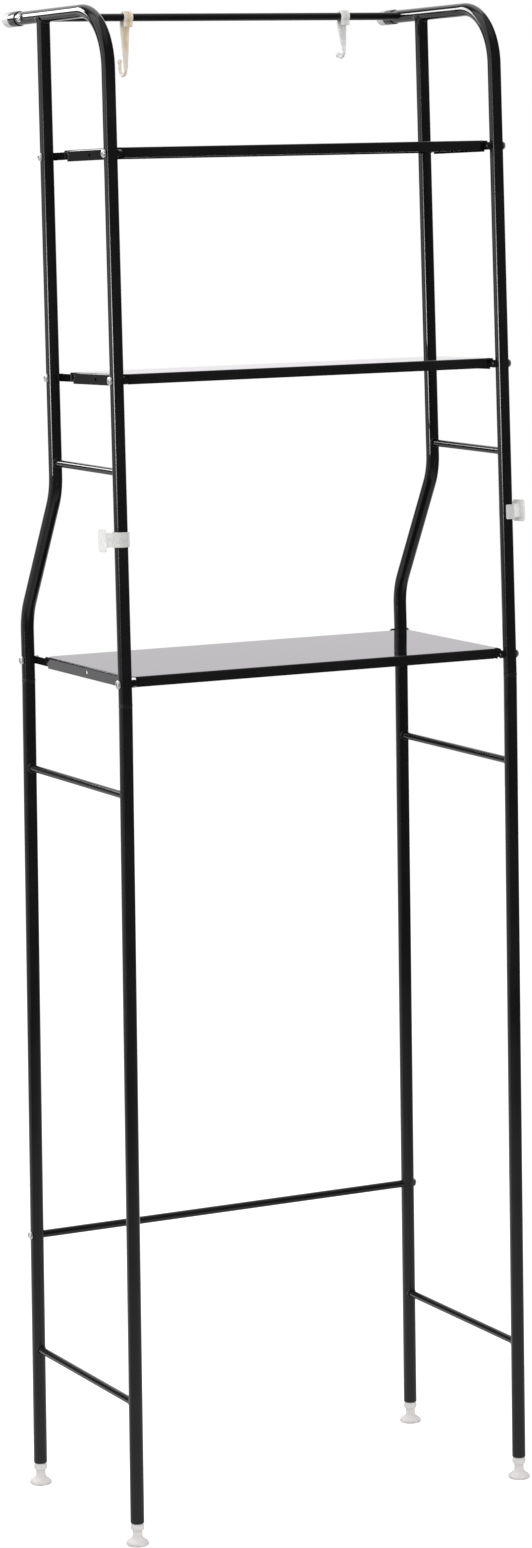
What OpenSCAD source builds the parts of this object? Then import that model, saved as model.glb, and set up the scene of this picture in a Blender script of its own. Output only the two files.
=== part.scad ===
// Over the toilet storage rack: two welded tube side frames, each a leg frame with an upper frame
// plugged onto it, tied together by three pressed steel shelves, a back bar and a hanging bar.
// Millimetres, +Z up, +Y towards the wall, +X to the right of someone facing the rack.
// The origin is on the floor, under the middle of the rack.

/* [Side frames] */
// Outer diameter of the legs, uprights and arms
tube_d = 16; // [15:0.5:18]
// Wall thickness of those tubes
tube_wall = 1.2; // [1:0.1:1.5]
// Left tubes to right tubes, centre to centre
frame_w = 510; // [450:10:600]
// Front legs to rear legs, centre to centre
leg_depth = 267; // [250:1:290]
// Floor to the bottom end of the leg tubes
leg_bottom = 25; // [22:1:28]
// Floor to the seam where the upper frame plugs onto the legs
seam_z = 970; // [900:5:1050]
// Backward lean of the upper frame, in degrees
lean = 1.7; // [1:0.1:2.2]
// Radius of every tube bend, to the tube's centre line
bend_r = 68; // [60:1:72]

/* [Rungs and bars] */
// Diameter of the rungs that join a front tube to a rear tube
rung_d = 8.5; // [7:0.5:10]
// Floor to the low rungs
low_rung_z = 163.5; // [120:0.5:220]
// Floor to the middle rungs
mid_rung_z = 866; // [800:0.5:880]
// Diameter of the back bar
back_bar_d = 9; // [8:0.5:10]
// Floor to the back bar
back_bar_z = 301.5; // [260:0.5:400]
// Diameter of the hanging bar
hanging_bar_d = 9.5; // [9:0.5:10.5]

/* [Upper frame, along its lean from the front seam] */
// Seam to the centre line of the arms
arm_h = 798; // [780:1:830]
// Front upright to rear upright, centre to centre
upper_depth = 174; // [165:1:185]
// Seam to the corner where the rear upright starts to come forward
jog_low = 87; // [82:1:92]
// Seam to the corner where it runs straight again
jog_high = 238; // [230:1:246]
// Seam to the front end of the upper rung
upper_rung_h = 267; // [262:1:280]
// Rise of the upper rung from front to rear
upper_rung_rise = 5; // [0:1:6]
// Front upright to the hanging bar
hanging_bar_y = 223; // [205:1:228]
// Length of an arm from the front upright to the tip of its bumper
arm_reach = 276.5; // [270:0.5:285]
// Seam to the top face of the middle shelf
middle_shelf_h = 379; // [360:1:400]
// Seam to the top face of the top shelf
top_shelf_h = 639; // [600:1:660]

/* [Shelves] */
// Floor to the top face of the bottom shelf
bottom_shelf_z = 1001.5; // [996:0.5:1004]
// Sheet steel thickness
sheet = 1; // [0.8:0.1:1.2]
// Depth of the front and rear lips
lip_h = 12; // [11.5:0.5:13]
// Depth of the end flanges
flange_h = 13.5; // [13:0.5:15]
// Plate edge behind the front tubes' centre line
front_setback = 6; // [4:0.5:8]
// Plate edge ahead of the rear tubes' centre line
rear_setback = 31; // [26:1:36]
// Bolt centre below the plate's top face
bolt_drop = 6.8; // [6.5:0.1:7]

/* [Hooks and clips] */
// Hook places along the hanging bar, from the middle, long hook first
hook_x = [-122.5, 173]; // [-200:0.5:200]
// Depth of each hook from the bar's centre line to the outside of its bend
hook_drop = [71, 50]; // [45:1:80]
// Angle of each hook's bent end
hook_curl = [180, 150]; // [120:5:180]
// Straight rise from each hook's bend to its tip
hook_rise = [9, 0]; // [0:1:12]
// Forward swing of each hook, in degrees
hook_swing = [2, 10]; // [0:1:20]
// Height of the left and right clips above the floor
clip_z = [1160.5, 1165]; // [1140:0.5:1190]
// Turn of each clip towards the wall, in degrees
clip_turn = [0, 18]; // [0:1:40]

/* [Hidden] */
$fn = 48;

LEFT = -1;
RIGHT = 1;
tube_id = tube_d - 2 * tube_wall;
side_x = frame_w / 2;               // centre line of the side frames
inner_face = side_x - tube_d / 2;   // nearest line of the tubes to the middle
gap = 0.2;                          // clearance between faces that only meet

// feet
foot_r = 13;                        // pad radius
foot_rim = 3;                       // height of the pad's straight rim
neck_r = 5.75;                      // stem radius, which slides in the plug
neck_z = 10.5;                      // floor to where the pad has run into the stem
stem_top = 44;                      // floor to the top of the stem
plug_skirt = 7.5;                   // height of the plug's collar below the tube
plug_depth = 26;                    // length of the plug inside the tube
plug_bore_r = neck_r + 0.08;        // running fit on the stem

// plugged joint between legs and upper frame
spigot_d = tube_id - 0.2;
spigot_len = 46;
swage_len = 9;

// fasteners
bolt_r = 2.5;
hole_r = 2.7;
head_r = 5.2;
head_h = 3;
nut_h = 4;
nut_flats = 8;
screw_depth = 22;                   // how far a bar bolt's hole runs into its bar past the tube

// ends of the arms
cap_r = 9.25;                       // radius of the sleeve and the bumper
cap_len = 20;                       // visible length of the bumper
sleeve_len = 18;
cap_dome_r = 6.5;                   // rounding of the bumper's tip
arm_end = arm_reach - cap_len - 3;  // end of the arm tube inside the sleeve
cap_plug_len = 22;

// hooks
hook_fit = 0.08;                    // running fit on the bar
hook_wall = 2.7;
hook_w = 11;                        // width of the ring along the bar
hook_lip = 11.6;                    // bar centre to the bottom of the lip
hook_stem_w = 12.6;                 // width of the stem under the ring
hook_neck_w = 4.8;                  // width of the stem where the bend starts
hook_rod = 4;                       // thickness of the bent end
hook_bend_r = 8.2;                  // bend radius to its centre line
hook_tip_r = 3;

// clips
clip_fit = 0.08;                    // running fit on the upright
clip_wall = 2;
clip_h = 17.5;
clip_lip_r = 1.3;
clip_open = 138;                    // angle of the mouth that snaps over the upright
clip_skew = 20;                     // how far the mouth is turned, so the band is longer in front
clip_reach = 24.9;                  // tube centre to the outer face of the end plate
clip_plate = [2.5, 18, 26];

// The rack's depth runs from the front of the feet to the tips of the bumpers.
rear_tip = arm_reach * cos(lean) + arm_h * sin(lean);
front_y = foot_r - (rear_tip + foot_r) / 2;
rear_y = front_y + leg_depth;
leg_depth_leaned = leg_depth * cos(lean);
bottom_bolt_z = bottom_shelf_z - bolt_drop;
bottom_bolt_rise = bottom_bolt_z - seam_z;

// the rear upright's jog
jog_angle = atan2(leg_depth_leaned - upper_depth, jog_high - jog_low);
jog_tangent = bend_r * tan(jog_angle / 2);
jog_run = (jog_high - jog_low) / cos(jog_angle) - 2 * jog_tangent;

// Puts its children in the upper frame's own axes: origin at the front seam, leaning back.
module leaned() {
    translate([0, front_y, seam_z]) rotate([-lean, 0, 0]) children();
}

// Turns a drawing in X and Y into one in Y and Z that is extruded along X.
module across() {
    rotate([90, 0, 90]) children();
}

// A rod along X from x0 to x1.
module rod_x(x0, x1, r) {
    translate([x0, 0, 0]) rotate([0, 90, 0]) cylinder(h = x1 - x0, r = r);
}

// A rod along Y from y0 to y1.
module rod_y(y0, y1, r) {
    translate([0, y0, 0]) rotate([-90, 0, 0]) cylinder(h = y1 - y0, r = r);
}

// Part of a ring in the Y-Z plane about the origin, from angle a0 through turn.
module bend(r, tube_r, a0, turn) {
    across() rotate([0, 0, a0]) rotate_extrude(angle = turn) translate([r, 0]) circle(r = tube_r);
}

// A hole along X through a side tube and a shelf flange.
module cross_hole(r = hole_r) {
    rod_x(-tube_d, tube_d, r);
}

// ---- legs and rungs ----

module leg(side, y) {
    color([0.05, 0.05, 0.055]) difference() {
        union() {
            translate([side * side_x, y, leg_bottom + 1])
                cylinder(h = seam_z - leg_bottom - 1, d = tube_d);
            translate([side * side_x, y, leg_bottom]) cylinder(h = 1, d1 = tube_d - 1.6, d2 = tube_d);
            translate([side * side_x, y, seam_z]) rotate([-lean, 0, 0])
                translate([0, 0, -3]) cylinder(h = spigot_len + 3, d = spigot_d);
        }
        translate([side * side_x, y, leg_bottom - 1])
            cylinder(h = seam_z - leg_bottom - swage_len + 1, d = tube_id);
        translate([side * side_x, y, seam_z]) rotate([-lean, 0, 0])
            translate([0, 0, -swage_len - 2])
                cylinder(h = spigot_len + swage_len + 4, d = spigot_d - 2 * tube_wall);
        translate([side * side_x, y + bottom_bolt_rise * tan(lean), bottom_bolt_z]) cross_hole();
        if (y > front_y) translate([side * side_x, y, back_bar_z]) cross_hole();
    }
}

// A rung between a front leg and a rear leg, coped to both tubes.
module leg_rung(side, z) {
    color([0.05, 0.05, 0.055]) difference() {
        translate([side * side_x, 0, z]) rod_y(front_y, rear_y, rung_d / 2);
        for (y = [front_y, rear_y])
            translate([side * side_x, y, z - rung_d]) cylinder(h = 2 * rung_d, d = tube_d);
    }
}

// ---- upper frame ----

// The front upright with its arm, as one solid of radius r.
module front_run(r) {
    translate([0, 0, -20]) cylinder(h = 20 + arm_h - bend_r, r = r);
    translate([0, bend_r, arm_h - bend_r]) bend(bend_r, r, 90, 90);
    translate([0, 0, arm_h]) rod_y(bend_r, arm_end, r);
}

// The rear upright, which comes forward above the bottom shelf, as one solid of radius r.
// It stops just under the centre line of the arm that it is coped to.
module rear_run(r) {
    translate([0, leg_depth_leaned, -20]) cylinder(h = 20 + jog_low - jog_tangent, r = r);
    translate([0, leg_depth_leaned - bend_r, jog_low - jog_tangent]) bend(bend_r, r, 0, jog_angle);
    translate([0, leg_depth_leaned, jog_low]) rotate([jog_angle, 0, 0])
        translate([0, 0, jog_tangent]) cylinder(h = jog_run, r = r);
    translate([0, upper_depth + bend_r, jog_high + jog_tangent])
        bend(bend_r, r, 180, jog_angle);
    translate([0, upper_depth, jog_high + jog_tangent])
        cylinder(h = arm_h - jog_high - jog_tangent - 3, r = r);
}

// Everything below the seam, cut away so that the upper frame sits square on the legs.
module below_seam() {
    translate([-frame_w, front_y - tube_d, seam_z - 60])
        cube([2 * frame_w, leg_depth + 2 * tube_d, 60]);
}

module front_upright(side) {
    color([0.05, 0.05, 0.055]) difference() {
        leaned() translate([side * side_x, 0, 0]) front_run(tube_d / 2);
        leaned() translate([side * side_x, 0, 0]) front_run(tube_id / 2);
        leaned() translate([side * side_x, 0, arm_h]) rod_y(arm_end - 1, arm_end + 1, tube_id / 2);
        below_seam();
        leaned() for (h = [middle_shelf_h, top_shelf_h])
            translate([side * side_x, 0, h - bolt_drop]) cross_hole();
        leaned() translate([side * side_x, hanging_bar_y, arm_h]) cross_hole();
        translate([side * side_x, front_y + bottom_bolt_rise * tan(lean), bottom_bolt_z])
            cross_hole();
    }
}

module rear_upright(side) {
    color([0.05, 0.05, 0.055]) difference() {
        leaned() translate([side * side_x, 0, 0]) rear_run(tube_d / 2);
        leaned() translate([side * side_x, 0, 0]) rear_run(tube_id / 2);
        leaned() translate([side * side_x, 0, arm_h]) rod_y(bend_r, arm_end, tube_d / 2);
        below_seam();
        leaned() for (h = [middle_shelf_h, top_shelf_h])
            translate([side * side_x, upper_depth, h - bolt_drop]) cross_hole();
        translate([side * side_x, rear_y + bottom_bolt_rise * tan(lean), bottom_bolt_z]) cross_hole();
    }
}

// The short rung between the uprights, just above the jog.
module upper_rung(side) {
    slope = atan2(upper_rung_rise, upper_depth);
    color([0.05, 0.05, 0.055]) leaned() difference() {
        translate([side * side_x, 0, upper_rung_h]) rotate([slope, 0, 0])
            rod_y(0, upper_depth / cos(slope), rung_d / 2);
        for (y = [0, upper_depth])
            translate([side * side_x, y, upper_rung_h - 3 * rung_d]) cylinder(h = 6 * rung_d, d = tube_d);
    }
}

// ---- ends of the arms ----

module arm_sleeve(side) {
    half = sleeve_len / 2;
    color([0.07, 0.07, 0.07]) leaned()
        translate([side * side_x, arm_reach - cap_len - sleeve_len, arm_h]) rotate([-90, 0, 0])
            rotate_extrude() polygon([
                [tube_d / 2 + 0.05, 0], [cap_r - 0.8, 0], [cap_r - 0.15, 0.9], [cap_r, half],
                [cap_r - 0.15, sleeve_len - 0.9], [cap_r - 0.6, sleeve_len], [tube_d / 2 + 0.05, sleeve_len]
            ]);
}

module wall_bumper(side) {
    tip = cap_len - cap_dome_r;
    plug_r = tube_id / 2 - 0.1;
    steps = 8;
    color([0.9, 0.9, 0.88]) leaned()
        translate([side * side_x, arm_reach - cap_len, arm_h]) rotate([-90, 0, 0])
            rotate_extrude() polygon(concat(
                [[0, -cap_plug_len], [plug_r - 0.7, -cap_plug_len], [plug_r, -cap_plug_len + 2],
                 [plug_r, 0.05], [cap_r - 0.3, 0.05], [cap_r, 1]],
                [for (i = [0:steps]) let (a = 90 * i / steps)
                    [cap_r - cap_dome_r + cap_dome_r * cos(a), tip + cap_dome_r * sin(a)]],
                [[0, cap_len]]
            ));
}

// ---- shelves ----

// A block with its two long top edges rounded, drawn as width and height with its top at zero.
module round_top(x0, x1, depth, r) {
    translate([x0, -depth]) square([x1 - x0, depth - r]);
    translate([x0 + r, -depth]) square([x1 - x0 - 2 * r, depth]);
    for (x = [x0 + r, x1 - r]) translate([x, -r]) circle(r = r);
}

// A block from y0 to y1 between the flanges, with all four top edges rounded.
module pan(inset, y0, y1, depth, r) {
    half = inner_face - gap - inset;
    intersection() {
        translate([-half, 0, -inset]) across() linear_extrude(2 * half)
            round_top(y0 + inset, y1 - inset, depth, r);
        translate([0, y1, -inset]) rotate([90, 0, 0]) linear_extrude(y1 - y0)
            round_top(-half, half, depth, r);
    }
}

// The outline of a flange's bolt ear, rounded about the bolt, reaching from the plate edge to the bolt.
module ear(bolt_y, plate_y) {
    ear_r = 4.5;
    translate([bolt_y, -bolt_drop]) circle(r = ear_r);
    translate([min(bolt_y, plate_y), -bolt_drop - ear_r]) square([abs(plate_y - bolt_y), 2 * ear_r]);
}

// A pressed shelf for tubes this far apart. Its top face is at height zero, and y is zero at the
// front bolts.
module shelf(reach) {
    y0 = front_setback;
    y1 = reach - rear_setback;
    edge_r = 2;
    hem = 5;
    crop = 9;
    half = inner_face - gap;
    color([0.06, 0.06, 0.065]) difference() {
        union() {
            difference() {
                pan(0, y0, y1, flange_h, edge_r);
                pan(sheet, y0, y1, flange_h + 1, edge_r - sheet);
                // the front and rear lips are a little shallower than the flanges
                for (y = [y0 - 1, y1 - sheet - 1]) translate([-half + sheet, y, -flange_h - 1])
                    cube([2 * (half - sheet), sheet + 2, flange_h + 1 - lip_h]);
                // the plate, its lips and its hems are cropped at a slant inside each corner
                for (sx = [-1, 1]) for (y = [y0, y1])
                    translate([sx * (half - sheet), y, -flange_h - 1]) linear_extrude(flange_h + 2)
                        polygon([[0, -crop], [-sx * crop, 0], [0, crop]]);
                // the flanges rise to the ears near the tubes
                for (side = [-1, 1]) for (y = [y0 - 1, y1 - 8])
                    translate([side * (half - sheet / 2) - 2, y, -flange_h - 1])
                        cube([4, 9, flange_h + 1 - bolt_drop - 4.5]);
            }
            // hems folded in under the lips
            for (y = [y0, y1 - hem]) translate([-half + sheet + crop + 3, y, -lip_h])
                cube([2 * (half - sheet - crop - 3), hem, sheet]);
            for (x = [-half, half - sheet]) translate([x, 0, 0]) across() linear_extrude(sheet) {
                ear(0, y0 + 3);
                ear(reach, y1 - 3);
            }
        }
        for (side = [-1, 1]) {
            for (y = [0, reach]) translate([side * half, y, -bolt_drop]) cross_hole();
            translate([side * half, (y0 + y1) / 2, -bolt_drop]) cross_hole(bolt_r);
        }
    }
}

module leaned_shelf(h) {
    leaned() translate([0, 0, h]) shelf(upper_depth);
}

module level_shelf() {
    translate([0, front_y + bottom_bolt_rise * tan(lean), bottom_shelf_z]) shelf(leg_depth);
}

// ---- fasteners ----

// A pan head bolt whose head sits at x = 0 and points outward, with its shank running inward along +X.
module bolt(len) {
    dome_r = (head_r * head_r + head_h * head_h) / (2 * head_h);
    difference() {
        union() {
            intersection() {
                translate([dome_r - head_h, 0, 0]) sphere(r = dome_r);
                rod_x(-head_h, 0, head_r);
            }
            rod_x(-0.5, len, bolt_r);
        }
        for (a = [0, 90]) rotate([a, 0, 0]) translate([-head_h - 1, -2.4, -0.5]) cube([2.6, 4.8, 1]);
    }
}

// Children are drawn with +X inward, and placed on the outside of a side tube.
module from_outside(side) {
    translate([side * (side_x + tube_d / 2 + 0.1), 0, 0])
        rotate([0, 0, side == RIGHT ? 180 : 0]) children();
}

shelf_bolt_len = tube_d + 0.1 + gap + sheet + nut_h + 2;
bar_bolt_len = tube_d + screw_depth - 4;    // stops short of the bottom of its hole

module shelf_bolts(reach) {
    color([0.82, 0.82, 0.84]) for (side = [LEFT, RIGHT]) for (y = [0, reach])
        translate([0, y, -bolt_drop]) from_outside(side) bolt(shelf_bolt_len);
}

// Nuts welded inside the flanges and enamelled with the shelf.
module shelf_nuts(reach) {
    color([0.06, 0.06, 0.065]) for (side = [LEFT, RIGHT]) for (y = [0, reach])
        translate([0, y, -bolt_drop]) from_outside(side)
            translate([tube_d + 0.1 + gap + sheet + 0.05, 0, 0]) rotate([0, 90, 0]) difference() {
                cylinder(h = nut_h, d = nut_flats / cos(30), $fn = 6);
                translate([0, 0, -1]) cylinder(h = nut_h + 2, r = bolt_r + 0.05);
            }
}

module bar_bolts() {
    color([0.82, 0.82, 0.84]) for (side = [LEFT, RIGHT]) from_outside(side) bolt(bar_bolt_len);
}

// ---- bars ----

// A bar between two side tubes, coped to them and drilled for its end bolts.
module tie_bar(d) {
    bar_hole = tube_d / 2 + screw_depth;    // from the tube's centre line
    difference() {
        rod_x(-side_x, side_x, d / 2);
        for (side = [LEFT, RIGHT]) {
            translate([side * side_x, 0, 0]) children();
            translate([side * side_x, 0, 0]) rod_x(-bar_hole, bar_hole, bolt_r + 0.1);
        }
    }
}

module back_bar() {
    color([0.05, 0.05, 0.055]) translate([0, rear_y, back_bar_z])
        tie_bar(back_bar_d) translate([0, 0, -tube_d]) cylinder(h = 2 * tube_d, d = tube_d + 0.1);
}

module hanging_bar() {
    color([0.05, 0.05, 0.055]) leaned() translate([0, hanging_bar_y, arm_h])
        tie_bar(hanging_bar_d) rod_y(-tube_d, tube_d, tube_d / 2 + 0.05);
}

// ---- feet ----

module foot_plug(side, y) {
    plug_r = tube_id / 2 - 0.1;
    color([0.9, 0.9, 0.88]) translate([side * side_x, y, leg_bottom]) difference() {
        union() {
            translate([0, 0, -plug_skirt]) cylinder(h = 1, r1 = tube_d / 2 - 0.8, r2 = tube_d / 2);
            translate([0, 0, 1 - plug_skirt]) cylinder(h = 4, r = tube_d / 2);
            translate([0, 0, 5 - plug_skirt])
                cylinder(h = plug_skirt - 5, r1 = tube_d / 2, r2 = plug_r);
            cylinder(h = plug_depth, r = plug_r);
        }
        translate([0, 0, -plug_skirt - 1]) cylinder(h = plug_skirt + plug_depth + 2, r = plug_bore_r);
    }
}

module foot(side, y) {
    color([0.9, 0.9, 0.88]) translate([side * side_x, y, 0]) rotate_extrude() polygon([
        [0, 0], [foot_r - 1, 0], [foot_r, 1], [foot_r, foot_rim], [foot_r - 1.3, foot_rim + 1.5],
        [foot_r - 5, foot_rim + 4], [neck_r + 0.6, neck_z - 1.6], [neck_r, neck_z],
        [neck_r, stem_top - 1], [neck_r - 1, stem_top], [0, stem_top]
    ]);
}

// ---- hooks ----

// A snap-on S hook, drawn about the bar: a ring over the bar with a lip at its front, a flat tapered
// stem behind it with a rib down its back, and a bent end that curls to the rear.
module hook(drop, curl, rise) {
    r_in = hanging_bar_d / 2 + hook_fit;
    r_out = r_in + hook_wall;
    bend_z = -drop + hook_rod / 2 + hook_bend_r;
    bend_y = r_in + hook_wall / 2 + hook_bend_r;
    tip = [bend_y + hook_bend_r * cos(180 + curl), bend_z + hook_bend_r * sin(180 + curl)];
    difference() {
        union() {
            rod_x(-hook_w / 2, hook_w / 2, r_out);
            // the lip that leads the bar in
            translate([-hook_w / 2, -r_in - 0.6, -hook_lip]) cube([hook_w, hook_wall, hook_lip - r_in + 1]);
        }
        rod_x(-hook_w, hook_w, r_in);
        // the mouth, between the lip and the stem
        translate([-hook_w, -r_in + hook_wall - 0.6, -2 * r_out])
            cube([2 * hook_w, 2 * r_in - hook_wall + 0.6, 2 * r_out]);
    }
    translate([0, r_in + hook_wall, 0]) rotate([90, 0, 0]) linear_extrude(hook_wall)
        polygon([[-hook_w / 2, 0], [hook_w / 2, 0], [hook_stem_w / 2, -r_out], [hook_neck_w / 2, bend_z],
                 [-hook_neck_w / 2, bend_z], [-hook_stem_w / 2, -r_out]]);
    // rib
    translate([0, r_in + hook_wall + 0.8, 0]) rotate([90, 0, 0]) linear_extrude(2)
        polygon([[-1.2, -r_out], [1.2, -r_out], [0.8, bend_z + 2], [-0.8, bend_z + 2]]);
    translate([0, bend_y, bend_z]) bend(hook_bend_r, hook_rod / 2, 180, curl);
    if (rise > 0) translate([0, tip[0], tip[1]]) cylinder(h = rise, r = hook_rod / 2);
    translate([0, tip[0], tip[1] + rise]) sphere(r = hook_tip_r);
}

module placed_hook(i, tone) {
    color(tone) leaned() translate([hook_x[i], hanging_bar_y, arm_h]) rotate([lean - hook_swing[i], 0, 0])
        hook(hook_drop[i], hook_curl[i], hook_rise[i]);
}

// ---- clips ----

// A snap-on clip, drawn about the upright with its end plate on -X and its mouth on +X, turned by
// the skew.
module clip(skew) {
    r_in = tube_d / 2 + clip_fit;
    r_out = r_in + clip_wall;
    plate_x = -clip_reach;
    mouth = 2 * r_out * tan(clip_open / 2);
    neck_w = 4;
    corner = 3;
    translate([0, 0, -clip_h / 2]) difference() {
        union() {
            cylinder(h = clip_h, r = r_out);
            translate([plate_x + 1, -neck_w / 2, 0.5])
                cube([clip_reach - tube_d / 4, neck_w, clip_h - 1]);
        }
        translate([0, 0, -1]) cylinder(h = clip_h + 2, r = r_in);
        translate([0, 0, -1]) rotate([0, 0, skew]) linear_extrude(clip_h + 2)
            polygon([[0, 0], [2 * r_out, -mouth], [2 * r_out, mouth]]);
    }
    // rolled lips at the mouth
    for (s = [-1, 1]) rotate([0, 0, skew + s * (clip_open / 2 + 2)])
        translate([r_in + clip_lip_r + 0.1, 0, 0]) cylinder(h = clip_h - 1, r = clip_lip_r, center = true);
    translate([plate_x, 0, 0]) across() linear_extrude(clip_plate[0]) {
        square([clip_plate[1] - 2 * corner, clip_plate[2]], center = true);
        square([clip_plate[1], clip_plate[2] - 2 * corner], center = true);
        for (y = [-1, 1]) for (z = [-1, 1])
            translate([y * (clip_plate[1] / 2 - corner), z * (clip_plate[2] / 2 - corner)])
                circle(r = corner);
    }
}

module placed_clip(i) {
    side = i == 0 ? LEFT : RIGHT;
    color([0.9, 0.9, 0.88]) leaned() translate([side * side_x, 0, (clip_z[i] - seam_z) / cos(lean)])
        rotate([0, 0, side == LEFT ? -clip_turn[i] : 180 + clip_turn[i]]) clip(-side * clip_skew);
}

leg(LEFT, front_y);  // front_leg_left
leg(RIGHT, front_y);  // front_leg_right
leg(LEFT, rear_y);  // rear_leg_left
leg(RIGHT, rear_y);  // rear_leg_right
leg_rung(LEFT, low_rung_z);  // low_rung_left
leg_rung(RIGHT, low_rung_z);  // low_rung_right
leg_rung(LEFT, mid_rung_z);  // mid_rung_left
leg_rung(RIGHT, mid_rung_z);  // mid_rung_right
front_upright(LEFT);  // front_upright_left
front_upright(RIGHT);  // front_upright_right
rear_upright(LEFT);  // rear_upright_left
rear_upright(RIGHT);  // rear_upright_right
upper_rung(LEFT);  // upper_rung_left
upper_rung(RIGHT);  // upper_rung_right
arm_sleeve(LEFT);  // arm_sleeve_left
arm_sleeve(RIGHT);  // arm_sleeve_right
wall_bumper(LEFT);  // wall_bumper_left
wall_bumper(RIGHT);  // wall_bumper_right
leaned_shelf(top_shelf_h);  // top_shelf
leaned_shelf(middle_shelf_h);  // middle_shelf
level_shelf();  // bottom_shelf
leaned() translate([0, 0, top_shelf_h]) shelf_bolts(upper_depth);  // top_shelf_bolts
leaned() translate([0, 0, middle_shelf_h]) shelf_bolts(upper_depth);  // middle_shelf_bolts
translate([0, front_y + bottom_bolt_rise * tan(lean), bottom_shelf_z]) shelf_bolts(leg_depth);  // bottom_shelf_bolts
leaned() translate([0, 0, top_shelf_h]) shelf_nuts(upper_depth);  // top_shelf_nuts
leaned() translate([0, 0, middle_shelf_h]) shelf_nuts(upper_depth);  // middle_shelf_nuts
translate([0, front_y + bottom_bolt_rise * tan(lean), bottom_shelf_z]) shelf_nuts(leg_depth);  // bottom_shelf_nuts
back_bar();
translate([0, rear_y, back_bar_z]) bar_bolts();  // back_bar_bolts
hanging_bar();
leaned() translate([0, hanging_bar_y, arm_h]) bar_bolts();  // hanging_bar_bolts
foot_plug(LEFT, front_y);  // foot_plug_front_left
foot_plug(RIGHT, front_y);  // foot_plug_front_right
foot_plug(LEFT, rear_y);  // foot_plug_rear_left
foot_plug(RIGHT, rear_y);  // foot_plug_rear_right
foot(LEFT, front_y);  // foot_front_left
foot(RIGHT, front_y);  // foot_front_right
foot(LEFT, rear_y);  // foot_rear_left
foot(RIGHT, rear_y);  // foot_rear_right
placed_hook(0, [0.85, 0.8, 0.66]);  // hook_long
placed_hook(1, [0.88, 0.88, 0.86]);  // hook_short
placed_clip(0);  // clip_left
placed_clip(1);  // clip_right
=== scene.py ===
import math

import bmesh
import bpy
from mathutils import Matrix, Vector


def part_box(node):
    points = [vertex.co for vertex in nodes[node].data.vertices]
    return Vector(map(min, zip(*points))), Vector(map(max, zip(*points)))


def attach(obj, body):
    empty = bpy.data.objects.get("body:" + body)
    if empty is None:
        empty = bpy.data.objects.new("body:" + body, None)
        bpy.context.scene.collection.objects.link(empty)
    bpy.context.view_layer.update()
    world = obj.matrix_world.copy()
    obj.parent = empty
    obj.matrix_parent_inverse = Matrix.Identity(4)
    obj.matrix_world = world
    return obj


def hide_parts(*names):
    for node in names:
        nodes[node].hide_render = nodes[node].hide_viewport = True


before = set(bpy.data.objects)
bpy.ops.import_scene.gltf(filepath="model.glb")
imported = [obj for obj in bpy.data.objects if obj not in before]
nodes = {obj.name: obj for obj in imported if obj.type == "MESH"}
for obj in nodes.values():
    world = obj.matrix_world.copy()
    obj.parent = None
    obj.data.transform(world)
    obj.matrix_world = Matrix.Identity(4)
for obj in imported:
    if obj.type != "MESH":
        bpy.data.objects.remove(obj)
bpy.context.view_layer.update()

# ---- Camera, light and floor ----
# The rack stands alone on a white sweep, seen from the front left at about eye height. A narrow
# strip light at the left draws a bright line down the upper tubes. The room in front stays dark.

studio = bpy.context.scene
studio.view_settings.view_transform = "Standard"
camera_data = bpy.data.cameras.new("camera")
camera = bpy.data.objects.new("camera", camera_data)
studio.collection.objects.link(camera)
studio.camera = camera
camera_turn = math.radians(27.42)  # towards the right of straight ahead
camera_dip = math.radians(2.17)
camera_roll = math.radians(0.756)
camera_place = (-2.4957, -4.8176, 1.6698)
look = Vector((math.sin(camera_turn) * math.cos(camera_dip),
               math.cos(camera_turn) * math.cos(camera_dip), -math.sin(camera_dip)))
level = Vector((math.cos(camera_turn), -math.sin(camera_turn), 0))
down = look.cross(level)
image_right = math.cos(camera_roll) * level + math.sin(camera_roll) * down
image_down = -math.sin(camera_roll) * level + math.cos(camera_roll) * down
camera.matrix_world = Matrix.Translation(camera_place) @ Matrix(
    (image_right, -image_down, -look)).transposed().to_4x4()
camera_data.lens = 105.8
camera_data.sensor_width = 36
camera_data.shift_x = 0.0021
camera_data.shift_y = -0.3293
camera_data.clip_start = 0.1
camera_data.clip_end = 60


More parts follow.
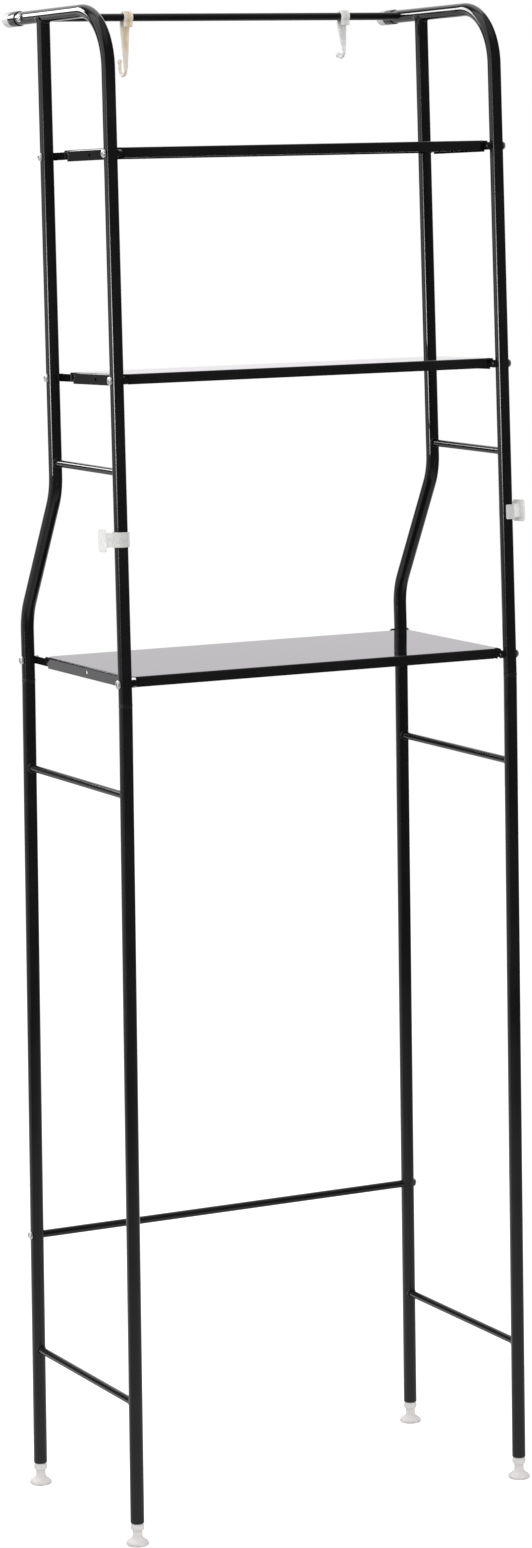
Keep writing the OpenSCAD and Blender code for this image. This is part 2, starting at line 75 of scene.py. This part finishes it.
class Wire:
    """A value in a node tree. Sums and products of wires add their own Math nodes."""

    def __init__(self, tree, socket=None):
        self.tree = tree
        self.socket = socket

    def node(self, kind, settings=None, sockets=None, out=0):
        """Adds a node, sets it up, feeds its sockets by name or number, and gives one of its outputs."""
        made = self.tree.nodes.new(kind)
        for name, value in (settings or {}).items():
            setattr(made, name, value)
        for name, value in (sockets or {}).items():
            if isinstance(name, int):
                socket = made.inputs[name]
            else:
                socket = next(s for s in made.inputs if s.name == name and s.enabled)
            if isinstance(value, Wire):
                self.tree.links.new(value.socket, socket)
            elif hasattr(value, "__len__") and len(value) == 3 and socket.type == "RGBA":
                socket.default_value = (*value, 1)
            else:
                socket.default_value = value
        if isinstance(out, str):
            return Wire(self.tree, next(s for s in made.outputs if s.name == out and s.enabled))
        return Wire(self.tree, made.outputs[out] if made.outputs else None)

    def maths(self, operation, *values):
        return self.node("ShaderNodeMath", {"operation": operation}, dict(enumerate(values)))

    def __add__(self, other):
        return self.maths("ADD", self, other)

    def __radd__(self, other):
        return self.maths("ADD", other, self)

    def __sub__(self, other):
        return self.maths("SUBTRACT", self, other)

    def __rsub__(self, other):
        return self.maths("SUBTRACT", other, self)

    def __mul__(self, other):
        return self.maths("MULTIPLY", self, other)

    def __rmul__(self, other):
        return self.maths("MULTIPLY", other, self)

    def __pow__(self, other):
        return self.maths("POWER", self, other)

    def between(self, low, high):
        """0 below low, 1 above high, and a smooth ramp from one to the other."""
        return self.node("ShaderNodeMapRange", {"interpolation_type": "SMOOTHSTEP"},
                         {"Value": self, "From Min": low, "From Max": high})

    def blend(self, low, high):
        """The colour low where this value is 0, and high where it is 1."""
        return self.node("ShaderNodeMix", {"data_type": "RGBA"},
                         {"Factor": self, "A": low, "B": high}, out="Result")

    def noise(self, scale, detail, distortion=0):
        """Cloudy noise over this place, with about so many clouds to the metre."""
        return self.node("ShaderNodeTexNoise", sockets={
            "Vector": self, "Scale": scale, "Detail": detail, "Distortion": distortion}, out="Fac")


world = bpy.data.worlds.new("studio")
studio.world = world
world.use_nodes = True
world.node_tree.nodes.clear()
air = Wire(world.node_tree)
heading = air.node("ShaderNodeTexCoord", out="Generated")


def along(x, y, z):
    """How far a heading runs along this direction."""
    return air.node("ShaderNodeVectorMath", {"operation": "DOT_PRODUCT"},
                    {0: heading, 1: (x, y, z)}, out="Value")


# What the gloss mirrors goes by the turn of a heading, in radians from the camera round to its left,
# and by its slope, which is its rise over its level run.
to_camera = along(level.y, -level.x, 0)
to_left = along(-level.x, -level.y, 0)
least_run = 0.02                    # keeps the slope finite straight overhead
level_run = air.maths("MAXIMUM", (to_camera * to_camera + to_left * to_left) ** 0.5, least_run)
slope = air.maths("DIVIDE", along(0, 0, 1), level_run)
turn = air.maths("ARCTAN2", to_left, to_camera)


def span(start, end):
    """1 over a span of turns, rising over its soft start and falling over its soft end."""
    return turn.between(*start) * (1 - turn.between(*end))


room_light, strip_light, ceiling_light, fill_light = 0.04, 22, 0.4, 0.72
sweep = air.maths("MAXIMUM", turn.between(2.4, 2.6), 1 - turn.between(-2.75, -2.6))
left_wall = span((0.74, 0.80), (1.85, 2.0))
left_light = 0.36 + 0.6 * slope.between(-0.10, -0.03) + 0.35 * turn.between(1.2, 1.8)
far_corner = span((2.14, 2.2), (2.5, 2.7))
far_light = 0.1 + 0.95 * (1 - slope.between(-0.12, -0.055))
strip_dip, strip_fade = 0.024, 34
strip = span((0.76, 0.80), (0.92, 0.96)) * air.maths("EXPONENT", ((slope + strip_dip) * strip_fade) ** 2 * -1)
overhead = slope.between(0.6, 1.6)
gloss = (air.maths("MAXIMUM", sweep, left_wall * left_light + far_corner * far_light)
         + strip * strip_light + room_light + overhead * ceiling_light)

plain_ray = air.maths("MAXIMUM", air.node("ShaderNodeLightPath", out="Is Camera Ray"),
                      air.node("ShaderNodeLightPath", out="Is Transmission Ray"))
glossy_ray = air.node("ShaderNodeLightPath", out="Is Glossy Ray")
light = plain_ray + (1 - plain_ray) * (glossy_ray * gloss + (1 - glossy_ray) * fill_light)
tint = glossy_ray.blend((1, 1, 1), (1, 0.972, 1.004))
sky = air.node("ShaderNodeBackground", sockets={"Color": tint, "Strength": light})
air.node("ShaderNodeOutputWorld", sockets={"Surface": sky})

for name, place, aim, size, power, shines in [
        ("softbox_left", (-2.7, -2.0, 2.9), (0, 0, 1.0), (1.8, 2.2), 34, False),
        ("softbox_right", (2.2, -3.0, 2.2), (0, 0, 1.0), (1.4, 1.8), 22, False),
        ("softbox_behind", (-1.2, 2.25, 2.45), (-0.1, 0, 1.7), (0.8, 1.0), 25, True)]:
    lamp_data = bpy.data.lights.new(name, "AREA")
    lamp_data.shape = "RECTANGLE"
    lamp_data.size, lamp_data.size_y = size
    lamp_data.energy = power
    lamp = bpy.data.objects.new(name, lamp_data)
    studio.collection.objects.link(lamp)
    lamp.location = place
    lamp.rotation_euler = (Vector(aim) - lamp.location).to_track_quat("-Z", "Y").to_euler()
    lamp.visible_glossy = shines
    lamp.visible_camera = False


def new_finish(name):
    """An empty material, and a wire into its nodes."""
    made = bpy.data.materials.new(name)
    made.use_nodes = True
    made.node_tree.nodes.clear()
    return made, Wire(made.node_tree)


floor_half_size = (3, 4.5, 1)
floor_middle = (0, 1, 0)
floor_mesh = bmesh.new()
bmesh.ops.create_grid(floor_mesh, x_segments=1, y_segments=1, size=1)
bmesh.ops.scale(floor_mesh, vec=floor_half_size, verts=floor_mesh.verts)
bmesh.ops.translate(floor_mesh, vec=floor_middle, verts=floor_mesh.verts)
floor_data = bpy.data.meshes.new("floor")
floor_mesh.to_mesh(floor_data)
floor_mesh.free()
floor = bpy.data.objects.new("floor", floor_data)
studio.collection.objects.link(floor)
floor_paint, ground = new_finish("floor_paint")
spot = ground.node("ShaderNodeTexCoord", out="Object")
away = ground.node("ShaderNodeVectorMath", {"operation": "LENGTH"}, {0: spot}, out="Value")
ahead = ground.node("ShaderNodeSeparateXYZ", sockets={0: spot}, out="Y")
seen = ground.node("ShaderNodeLightPath", out="Is Camera Ray")
mirrored = ground.node("ShaderNodeLightPath", out="Is Glossy Ray")
matt = ground.node("ShaderNodeBsdfDiffuse", sockets={"Color": (0.82, 0.82, 0.82)})
lift = ground.node("ShaderNodeEmission", sockets={"Color": (1, 1, 1), "Strength": seen * 0.5})
both = ground.node("ShaderNodeAddShader", sockets={0: matt, 1: lift})
# Reflections see the floor as a painted pool of light. It glows brighter near the rack and behind it, and
# fades away from it.
painted_light_pool = 0.05 + 0.5 * (1 - away.between(0.1, 3.2)) + 0.5 * ahead.between(-0.1, 0.6)
shine = ground.node("ShaderNodeEmission", sockets={"Color": (1, 1, 1), "Strength": painted_light_pool})
paint = ground.node("ShaderNodeMixShader", sockets={0: mirrored, 1: both, 2: shine})
ground.node("ShaderNodeOutputMaterial", sockets={"Surface": paint})
floor_data.materials.append(floor_paint)

# ---- Enamelled steel tubes, rungs and bars ----
# Thin-walled steel tube, bent and welded, then dipped and baked in glossy black enamel. The film
# has a faint orange peel, fine scuffs, and a little dust where it is handled least.


def enamel(name, ripple, gloss_low, gloss_high):
    """Baked black enamel whose film ripples at this scale, in waves to the metre."""
    made, film = new_finish(name)
    place = film.node("ShaderNodeTexCoord", out="Object")
    cloud, scuff, peel = place.noise(14, 3), place.noise(900, 2), place.noise(ripple, 1)
    speck = film.node("ShaderNodeTexVoronoi", {"feature": "F1"},
                      {"Vector": place, "Scale": 160, "Randomness": 1}, out="Distance")
    dust = (1 - speck.between(0.03, 0.09)) * cloud.between(0.56, 0.7)
    deep_black, dusty_black = (0.0062, 0.0063, 0.0068), (0.0105, 0.0102, 0.0104)
    colour = (cloud.between(0.3, 0.7) * 0.8 + dust * 0.2).blend(deep_black, dusty_black)
    rough = gloss_low + cloud.between(0.35, 0.7) * (gloss_high - gloss_low) + scuff * 0.012 + dust * 0.08
    bump = film.node("ShaderNodeBump", sockets={"Strength": 0.05, "Distance": 0.0002, "Height": peel})
    shine = film.node("ShaderNodeBsdfPrincipled", sockets={
        "Base Color": colour, "Roughness": rough, "IOR": 1.5, "Normal": bump})
    film.node("ShaderNodeOutputMaterial", sockets={"Surface": shine})
    return made


tube_enamel = enamel("tube_enamel_coat", 260, 0.05, 0.09)
side_tubes = ("front_leg", "rear_leg", "front_upright", "rear_upright",
              "low_rung", "mid_rung", "upper_rung")
for name in nodes:
    if name.startswith(side_tubes) or name in ("back_bar", "hanging_bar"):
        nodes[name].data.materials[0] = tube_enamel

# ---- Weld beads at the rungs and under the arms ----
# Each rung end, and the top of each rear upright, is welded all round to the tube it meets. The
# beads are lumpy, ripple as the torch moved on, and are enamelled over with the frame.

tube_r, rung_r = 0.008, 0.00425
rung_bead_r, arm_bead_r = 0.0014, 0.0017
arm_bead_rise = 0.0034              # least distance of that bead from the arm's centre line
upper_depth = 0.174                 # front upright to rear upright, centre to centre
upper_rung_front, upper_rung_rear = 0.267, 0.272    # heights of its ends above the seam, up the lean
arm_h = 0.798                       # height of the arms' centre line, measured the same way
lean = math.radians(1.7)
front_y = (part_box("foot_front_left")[0][1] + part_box("foot_front_left")[1][1]) / 2
rear_y = (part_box("foot_rear_left")[0][1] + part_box("foot_rear_left")[1][1]) / 2
side_x = (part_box("foot_front_right")[0][0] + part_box("foot_front_right")[1][0]) / 2
seam_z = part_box("front_upright_left")[0][2]
leaned = Matrix.Translation((0, front_y, seam_z)) @ Matrix.Rotation(-lean, 4, "X")
bead_shift, bead_step = 0, 1.7      # turns the ripples of each bead a step further than the last


def join(shape, added):
    """Adds one mesh in the making to another, and lets it go."""
    passed = bpy.data.meshes.new("passed")
    added.to_mesh(passed)
    added.free()
    shape.from_mesh(passed)
    bpy.data.meshes.remove(passed)


def add_bead(shape, rod_r, wire, least, place):
    """Adds a rippled ring round a rod of this radius, laid on the tube that the rod's end meets.
    It stays at least so far from that tube's centre line."""
    global bead_shift
    bead_shift += bead_step
    ripples, ripple_height, lumps, lump_height = 13, 0.14, 3, 0.16
    bedding = 0.35                      # less than 1, so the bead is sunk into the rod
    ring_r = rod_r + bedding * wire
    ring = bmesh.new()
    bmesh.ops.create_circle(ring, segments=10, radius=wire,
                            matrix=Matrix.Translation((ring_r, 0, 0)) @ Matrix.Rotation(math.pi / 2, 4, "X"))
    bmesh.ops.spin(ring, geom=ring.verts[:] + ring.edges[:], cent=(0, 0, 0), axis=(0, 0, 1),
                   angle=2 * math.pi, steps=72, use_merge=True)
    for corner in ring.verts:
        around = math.atan2(corner.co.y, corner.co.x)
        middle = Vector((math.cos(around), math.sin(around), 0)) * ring_r
        swell = (1 + ripple_height * math.sin(ripples * around + bead_shift)
                 + lump_height * math.sin(lumps * around + 2 * bead_shift))
        corner.co = middle + (corner.co - middle) * swell
        corner.co.z += max(math.sqrt(max(tube_r ** 2 - middle.x ** 2, 0)), least)
    bmesh.ops.transform(ring, matrix=place, verts=ring.verts)
    bmesh.ops.recalc_face_normals(ring, faces=ring.faces)
    join(shape, ring)


def new_piece(name, shape, body, coat):
    """Makes an object of this mesh, smooth shaded, in this material, riding on this body."""
    made = bpy.data.meshes.new(name)
    for face in shape.faces:
        face.smooth = True
    shape.to_mesh(made)
    shape.free()
    made.materials.append(coat)
    piece = bpy.data.objects.new(name, made)
    studio.collection.objects.link(piece)
    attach(piece, body)
    return piece


towards_wall = Matrix(((1, 0, 0, 0), (0, 0, 1, 0), (0, 1, 0, 0), (0, 0, 0, 1)))
towards_front = Matrix(((1, 0, 0, 0), (0, 0, -1, 0), (0, 1, 0, 0), (0, 0, 0, 1)))
towards_floor = Matrix.Rotation(math.pi, 4, "X")
for side, x in (("left", -side_x), ("right", side_x)):
    for rung in ("low_rung_", "mid_rung_"):
        height = (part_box(rung + side)[0][2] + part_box(rung + side)[1][2]) / 2
        welds = bmesh.new()
        for y, facing in ((front_y, towards_wall), (rear_y, towards_front)):
            add_bead(welds, rung_r, rung_bead_r, 0, Matrix.Translation((x, y, height)) @ facing)
        new_piece(rung + side + "_welds", welds, "frame", tube_enamel)
    welds = bmesh.new()
    for y, height, facing in ((0, upper_rung_front, towards_wall),
                              (upper_depth, upper_rung_rear, towards_front)):
        add_bead(welds, rung_r, rung_bead_r, 0, leaned @ Matrix.Translation((x, y, height)) @ facing)
    new_piece("upper_rung_" + side + "_welds", welds, "frame", tube_enamel)
    welds = bmesh.new()
    add_bead(welds, tube_r, arm_bead_r, arm_bead_rise,
             leaned @ Matrix.Translation((x, upper_depth, arm_h)) @ towards_floor)
    new_piece("arm_" + side + "_weld", welds, "frame", tube_enamel)

# ---- Seams between the legs and the upper frame ----
# The upper frame's tubes sit on the legs' narrowed ends. Both edges are rolled over a little, with
# a fine dark groove between them.

rolled_edges = [(7.7, -2.0), (8.02, -1.8), (8.16, -1.1), (8.1, -0.5), (7.86, -0.15),    # in mm
                (7.86, 0.1), (8.16, 0.45), (8.24, 1.0), (8.1, 1.9), (7.7, 2.1)]
for side, x in (("left", -side_x), ("right", side_x)):
    for end, y in (("front", front_y), ("rear", rear_y)):
        collar = bmesh.new()
        rim = [collar.verts.new((r / 1000, 0, z / 1000)) for r, z in rolled_edges]
        edges = [collar.edges.new((rim[i], rim[(i + 1) % len(rim)])) for i in range(len(rim))]
        bmesh.ops.spin(collar, geom=rim + edges, cent=(0, 0, 0), axis=(0, 0, 1),
                       angle=2 * math.pi, steps=64, use_merge=True)
        bmesh.ops.transform(collar, verts=collar.verts,
                            matrix=Matrix.Translation((x, y, seam_z)) @ Matrix.Rotation(-lean / 2, 4, "X"))
        bmesh.ops.recalc_face_normals(collar, faces=collar.faces)
        new_piece("seam_" + end + "_" + side, collar, "frame", tube_enamel)

# ---- Shelves and the nuts inside them ----
# Each shelf is one pressing of thin steel sheet with turned-down lips and end flanges. A nut is
# welded inside each ear, and all of it is enamelled together.

sheet_enamel = enamel("sheet_enamel_coat", 90, 0.035, 0.07)
for name in ("top_shelf", "middle_shelf", "bottom_shelf"):
    nodes[name].data.materials[0] = sheet_enamel
    nodes[name + "_nuts"].data.materials[0] = sheet_enamel

# ---- Bolts ----
# Zinc-plated steel machine screws with domed pan heads and a cross recess. Four hold each shelf to
# the tubes, and two hold each bar.

plating, metal = new_finish("zinc_plate")
place = metal.node("ShaderNodeTexCoord", out="Object")
cloud, grit = place.noise(420, 3), place.noise(2600, 1)
dull_zinc, bright_zinc = (0.66, 0.66, 0.67), (0.86, 0.86, 0.85)
tone = cloud.between(0.35, 0.65).blend(dull_zinc, bright_zinc)
rough = 0.24 + 0.14 * cloud + 0.05 * grit
dents = metal.node("ShaderNodeBump", sockets={"Strength": 0.3, "Distance": 0.0001, "Height": grit})
shine = metal.node("ShaderNodeBsdfPrincipled", sockets={
    "Base Color": tone, "Metallic": 0.85, "Roughness": rough, "Normal": dents})
metal.node("ShaderNodeOutputMaterial", sockets={"Surface": shine})

head_r, head_h, shank_r = 0.0052, 0.003, 0.0025
smooth_share = 0.45                 # how much of the shank has no thread
thread_pitch, thread_depth = 0.0008, 0.0003
shelf_bolt_length, bar_bolt_length = 0.0203, 0.034      # a shelf bolt ends inside its nut
recess_size, recess_taper = (0.004, 0.0052, 0.00105), (1, 0.45, 0.7)    # of each of its two blades
recess_turn, recess_depth = 0.4, 0.0001     # its depth is that of the blades' middle
seat_gap = 0.0001
crease = math.radians(38)           # edges sharper than this stay sharp


def bolt_mesh(length):
    """A bolt with its head's seat at x = 0, its head towards -X and its thread towards +X."""
    lathe = bmesh.new()
    outline = [(-1, 0), (-0.99, 0.3), (-0.92, 0.58), (-0.74, 0.82), (-0.45, 0.96), (-0.15, 1), (0, 0.98)]
    outline = [(x * head_h, r * head_r) for x, r in outline]
    thread = smooth_share * length
    outline += [(seat_gap, shank_r), (thread, shank_r)]
    while thread < length - 1.5 * thread_pitch:
        outline += [(thread + 0.25 * thread_pitch, shank_r - thread_depth),
                    (thread + 0.75 * thread_pitch, shank_r)]
        thread += thread_pitch
    outline += [(length, shank_r - 2 * thread_depth), (length, 0)]
    corners = [lathe.verts.new((x, r, 0)) for x, r in outline]
    edges = [lathe.edges.new(pair) for pair in zip(corners, corners[1:])]
    bmesh.ops.spin(lathe, geom=corners + edges, cent=(0, 0, 0), axis=(1, 0, 0),
                   angle=2 * math.pi, steps=40, use_merge=True)
    bmesh.ops.remove_doubles(lathe, verts=lathe.verts, dist=0.000001)
    bmesh.ops.recalc_face_normals(lathe, faces=lathe.faces)
    turned = bpy.data.meshes.new("turned")
    lathe.to_mesh(turned)
    lathe.free()
    recess = bmesh.new()
    for quarter in (0, math.pi / 2):
        blade = bmesh.ops.create_cube(recess, size=1)["verts"]
        bmesh.ops.scale(recess, vec=recess_size, verts=blade)
        bmesh.ops.scale(recess, vec=recess_taper, verts=[corner for corner in blade if corner.co.x > 0])
        bmesh.ops.translate(recess, vec=(-head_h + recess_depth, 0, 0), verts=blade)
        bmesh.ops.rotate(recess, cent=(0, 0, 0), verts=blade,
                         matrix=Matrix.Rotation(quarter + recess_turn, 3, "X"))
    driver = bpy.data.meshes.new("driver")
    recess.to_mesh(driver)
    recess.free()
    blank, tool = bpy.data.objects.new("blank", turned), bpy.data.objects.new("tool", driver)
    for part in (blank, tool):
        studio.collection.objects.link(part)
    cut = blank.modifiers.new("cut", "BOOLEAN")
    cut.operation, cut.solver, cut.object = "DIFFERENCE", "EXACT", tool
    cut.use_self = True
    finished = bpy.data.meshes.new_from_object(blank.evaluated_get(bpy.context.evaluated_depsgraph_get()))
    for part in (blank, tool):
        bpy.data.objects.remove(part)
    for spent in (turned, driver):
        bpy.data.meshes.remove(spent)
    return finished


shelf_bolt, bar_bolt = bolt_mesh(shelf_bolt_length), bolt_mesh(bar_bolt_length)
inward = {-1: Matrix(), 1: Matrix.Rotation(math.pi, 4, "Z")}
for name in ("top_shelf_bolts", "middle_shelf_bolts", "bottom_shelf_bolts",
             "back_bar_bolts", "hanging_bar_bolts"):
    low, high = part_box(name)
    middle_y, middle_z = (low[1] + high[1]) / 2, (low[2] + high[2]) / 2
    if name == "bottom_shelf_bolts":
        pattern, ends = shelf_bolt, [(low[1] + head_r, middle_z), (high[1] - head_r, middle_z)]
    elif "shelf" in name:           # these shelves lean, so their rear bolts sit lower
        reach = head_r * math.cos(lean)
        pattern, ends = shelf_bolt, [(low[1] + reach, high[2] - reach), (high[1] - reach, low[2] + reach)]
    else:
        pattern, ends = bar_bolt, [(middle_y, middle_z)]
    bolts = bmesh.new()
    for side in (-1, 1):
        for y, z in ends:
            before = len(bolts.verts)
            bolts.from_mesh(pattern)
            bolts.verts.ensure_lookup_table()
            seat = Matrix.Translation((side * (side_x + tube_r + seat_gap), y, z)) @ inward[side]
            tightened = Matrix.Rotation(1.3 * side + 40 * y, 4, "X")     # each stops at its own angle
            bmesh.ops.transform(bolts, matrix=seat @ tightened, verts=bolts.verts[before:])
    bolted = new_piece(name + "_finished", bolts, "frame", plating)
    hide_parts(name)
    edge = bolted.modifiers.new("edge", "EDGE_SPLIT")
    edge.split_angle = crease

# ---- Sleeves on the ends of the arms ----
# Soft black vinyl sleeves pushed over the arms' ends, smooth and shiny from the mould, with faint
# scuffs and the odd rub mark.

vinyl, skin = new_finish("black_vinyl")
place = skin.node("ShaderNodeTexCoord", out="Object")
cloud, rub = place.noise(130, 4), place.noise(900, 3)
fresh_vinyl, rubbed_vinyl = (0.007, 0.007, 0.007), (0.016, 0.0155, 0.015)
tone = (cloud * rub).between(0.2, 0.42).blend(fresh_vinyl, rubbed_vinyl)
rough = 0.13 + 0.12 * cloud.between(0.4, 0.7) + 0.05 * rub
waves = skin.node("ShaderNodeBump", sockets={"Strength": 0.25, "Distance": 0.0002, "Height": cloud})
shine = skin.node("ShaderNodeBsdfPrincipled", sockets={
    "Base Color": tone, "Roughness": rough, "IOR": 1.52, "Normal": waves})
skin.node("ShaderNodeOutputMaterial", sockets={"Surface": shine})
for side in ("left", "right"):
    nodes["arm_sleeve_" + side].data.materials[0] = vinyl

# ---- Wall bumpers, foot plugs and feet ----
# Milky white polyethylene mouldings: domed bumpers at the wall, plugs in the bottom of the legs,
# and round feet whose stems slide in the plugs to level the rack. The feet are grubby at the floor.


def milky(name, pale, grubby, soft, dirt_low, dirt_high):
    """Milky plastic with faint flow marks, soft by this much, and grubby below dirt_low. The grime
    fades out up to dirt_high."""
    made, wax = new_finish(name)
    place = wax.node("ShaderNodeTexCoord", out="Object")
    height = wax.node("ShaderNodeSeparateXYZ", sockets={0: place}, out="Z")
    flow, fine = place.noise(95, 3, 1.2), place.noise(1500, 2)
    dirt = (1 - height.between(dirt_low, dirt_high)) * flow.between(0.35, 0.62)
    marks = 0.25 * flow.between(0.3, 0.7) + 0.75 * dirt
    rough = 0.3 + 0.12 * flow + 0.1 * fine + 0.15 * dirt
    ripple = wax.node("ShaderNodeBump", sockets={
        "Strength": 0.3, "Distance": 0.00015, "Height": flow * 0.8 + fine * 0.2})
    shine = wax.node("ShaderNodeBsdfPrincipled", sockets={
        "Base Color": marks.blend(pale, grubby), "Roughness": rough, "IOR": 1.5, "Normal": ripple,
        "Subsurface Weight": soft, "Subsurface Radius": Vector((1.0, 0.95, 0.9)), "Subsurface Scale": 0.003})
    wax.node("ShaderNodeOutputMaterial", sockets={"Surface": shine})
    return made


bumper_plastic = milky("bumper_plastic", pale=(0.70, 0.70, 0.685), grubby=(0.58, 0.575, 0.55),
                       soft=0.3, dirt_low=0.5, dirt_high=0.6)
foot_plastic = milky("foot_plastic_milky", pale=(0.80, 0.775, 0.765), grubby=(0.64, 0.615, 0.60),
                     soft=0.2, dirt_low=0.0008, dirt_high=0.005)
for name, node in nodes.items():
    if name.startswith("wall_bumper"):
        node.data.materials[0] = bumper_plastic
    if name.startswith("foot_"):
        node.data.materials[0] = foot_plastic

# ---- Towel hooks on the hanging bar ----
# Two moulded S hooks snapped over the bar. The long one is clear plastic that has aged to ivory,
# and the short one is still grey-white. Round the bar each is painted darker along its middle rib,
# as painted shade of the black bar showing through; on the long one that colour is also its own
# amber tint. Both are frosted, with rounded edges.


def add_rim(shape, rim_r, wire, start, turn, place):
    """Adds a round bead of this wire radius along an arc, in degrees, about the Z axis of a place."""
    ring = bmesh.new()
    bmesh.ops.create_circle(ring, cap_ends=True, segments=12, radius=wire,
                            matrix=Matrix.Translation((rim_r, 0, 0)) @ Matrix.Rotation(math.pi / 2, 4, "X"))
    bmesh.ops.rotate(ring, cent=(0, 0, 0), verts=ring.verts,
                     matrix=Matrix.Rotation(math.radians(start), 3, "Z"))
    bmesh.ops.spin(ring, geom=ring.faces[:], cent=(0, 0, 0), axis=(0, 0, 1),
                   angle=math.radians(turn), steps=48)
    bmesh.ops.transform(ring, matrix=place, verts=ring.verts)
    bmesh.ops.recalc_face_normals(ring, faces=ring.faces)
    join(shape, ring)


def moulded(source, added):
    """A solid fused with what is added to it, with every edge rounded as it leaves the mould."""
    mould_grain, rounding = 0.00036, 4
    shape = bmesh.new()
    shape.from_mesh(nodes[source].data)
    bmesh.ops.remove_doubles(shape, verts=shape.verts, dist=0.000001)
    join(shape, added)
    rough_cast = bpy.data.meshes.new("rough_cast")
    shape.to_mesh(rough_cast)
    shape.free()
    cast = bpy.data.objects.new("cast", rough_cast)
    studio.collection.objects.link(cast)
    grid = cast.modifiers.new("grid", "REMESH")
    grid.mode, grid.voxel_size = "VOXEL", mould_grain
    soften = cast.modifiers.new("soften", "SMOOTH")
    soften.factor, soften.iterations = 0.5, rounding
    finished = bpy.data.meshes.new_from_object(cast.evaluated_get(bpy.context.evaluated_depsgraph_get()))
    bpy.data.objects.remove(cast)
    rounded = bmesh.new()
    rounded.from_mesh(finished)
    for spent in (rough_cast, finished):
        bpy.data.meshes.remove(spent)
    return rounded


def frosted(name, pale, deep_and_shaded, clear, middle, reach, low, high):
    """Frosted clear plastic, deeper in colour near a line that lies so far from the rack's own
    middle. That deeper colour is painted shade of the black tube or bar that shows through there,
    and on ivory plastic also its own deeper tint. It is gone at this reach from the line, and fades
    out from high down to low."""
    made, resin = new_finish(name)
    place = resin.node("ShaderNodeTexCoord", out="Object")
    across = resin.node("ShaderNodeSeparateXYZ", sockets={0: place}, out="X")
    height = resin.node("ShaderNodeSeparateXYZ", sockets={0: place}, out="Z")
    flow, fine = place.noise(160, 3, 1), place.noise(1900, 2)
    off_line = resin.maths("ABSOLUTE", resin.maths("ABSOLUTE", across) - middle)
    # Painted shade of the black tube or bar behind, near the line and above the given height.
    shade_and_tint_mask = (1 - off_line.between(0.12 * reach, reach)) * height.between(low, high)
    tone = (0.8 * shade_and_tint_mask + 0.2 * flow.between(0.35, 0.65)).blend(pale, deep_and_shaded)
    rough = 0.3 + 0.1 * flow + 0.08 * fine
    grain = resin.node("ShaderNodeBump", sockets={
        "Strength": 0.12, "Distance": 0.0001, "Height": flow * 0.7 + fine * 0.3})
    shine = resin.node("ShaderNodeBsdfPrincipled", sockets={
        "Base Color": tone, "Roughness": rough, "IOR": 1.33, "Transmission Weight": clear, "Normal": grain})
    resin.node("ShaderNodeOutputMaterial", sockets={"Surface": shine})
    return made


bar_low, bar_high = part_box("hanging_bar")
bar_y, bar_z = (bar_low[1] + bar_high[1]) / 2, (bar_low[2] + bar_high[2]) / 2
long_hook_x, short_hook_x = -0.1225, 0.173
long_hook_swing, short_hook_swing = 2, 10       # degrees from hanging plumb, as they come to rest
hook_rim_r, hook_rim_wire = 0.00723, 0.0008
hook_rim_x = 0.0048                 # from the hook's middle to each rim
hook_rim_start, hook_rim_turn = 5, 175
about_x = Matrix.Rotation(math.pi / 2, 4, "Y") @ Matrix.Rotation(math.pi / 2, 4, "Z")
pad_place, pad_tilt, pad_size = (0, 0.0202, -0.0446), -0.5, (4.6, 3.6, 2.7, 1)      # half sizes in mm
# The deep colours are painted shade of the black bar showing through each hook's ring, amber-tinted on the
# ivory hook.
ivory_resin = frosted("ivory_resin", pale=(0.93, 0.89, 0.80), deep_and_shaded=(0.82, 0.64, 0.38), clear=0.2,
                      middle=-long_hook_x, reach=0.0042, low=1.712, high=1.732)
grey_resin = frosted("frosted_resin", pale=(0.97, 0.97, 0.965), deep_and_shaded=(0.74, 0.73, 0.71), clear=0.12,
                     middle=short_hook_x, reach=0.006, low=1.718, high=1.745)
for name, x, swing, coat, slot in [
        ("hook_long", long_hook_x, long_hook_swing, ivory_resin, "ivory_plastic"),
        ("hook_short", short_hook_x, short_hook_swing, grey_resin, "frosted_plastic")]:
    about_bar = Matrix.Translation((x, bar_y, bar_z)) @ Matrix.Rotation(-math.radians(swing), 4, "X")
    added = bmesh.new()
    for edge in (-hook_rim_x, hook_rim_x):
        add_rim(added, hook_rim_r, hook_rim_wire, hook_rim_start, hook_rim_turn,
                about_bar @ Matrix.Translation((edge, 0, 0)) @ about_x)
    if name == "hook_short":        # its tip ends in a flat pad
        pad = about_bar @ Matrix.Translation(pad_place) @ Matrix.Rotation(pad_tilt, 4, "X")
        bmesh.ops.create_uvsphere(added, u_segments=24, v_segments=16, radius=0.001,
                                  matrix=pad @ Matrix.Diagonal(pad_size))
    hook = new_piece(name + "_moulded", moulded(name, added), name, coat)
    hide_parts(name)

# ---- Clips on the front uprights ----
# Frosted clear plastic clips, each a band snapped round a front tube, with a rolled rim along its
# top and bottom and a neck that carries an end plate with rounded corners.

band_r, band_rim_wire = 0.01002, 0.00075
band_rim_z = 0.0079                 # from the clip's middle to each rim
band_start, band_turn = 74, 212
# The deeper grey near the tube's line is painted shade of the black tube showing through the band.
clip_resin = frosted("clip_resin", pale=(0.97, 0.97, 0.955), deep_and_shaded=(0.60, 0.60, 0.585), clear=0.12,
                     middle=side_x, reach=0.014, low=0.9, high=1.0)
# Heights are those of the clips' middles above the floor, and turns are in degrees.
for name, side, height, turned_to, skew in [("clip_left", -1, 1.1605, 0, 20),
                                            ("clip_right", 1, 1.165, 198, -20)]:
    rise = (height - seam_z) / math.cos(lean)
    about_tube = leaned @ Matrix.Translation((side * side_x, 0, rise)) @ Matrix.Rotation(
        math.radians(turned_to), 4, "Z")
    added = bmesh.new()
    for edge in (-band_rim_z, band_rim_z):
        add_rim(added, band_r, band_rim_wire, skew + band_start, band_turn,
                about_tube @ Matrix.Translation((0, 0, edge)))
    clip = new_piece(name + "_moulded", moulded(name, added), name, clip_resin)
    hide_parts(name)
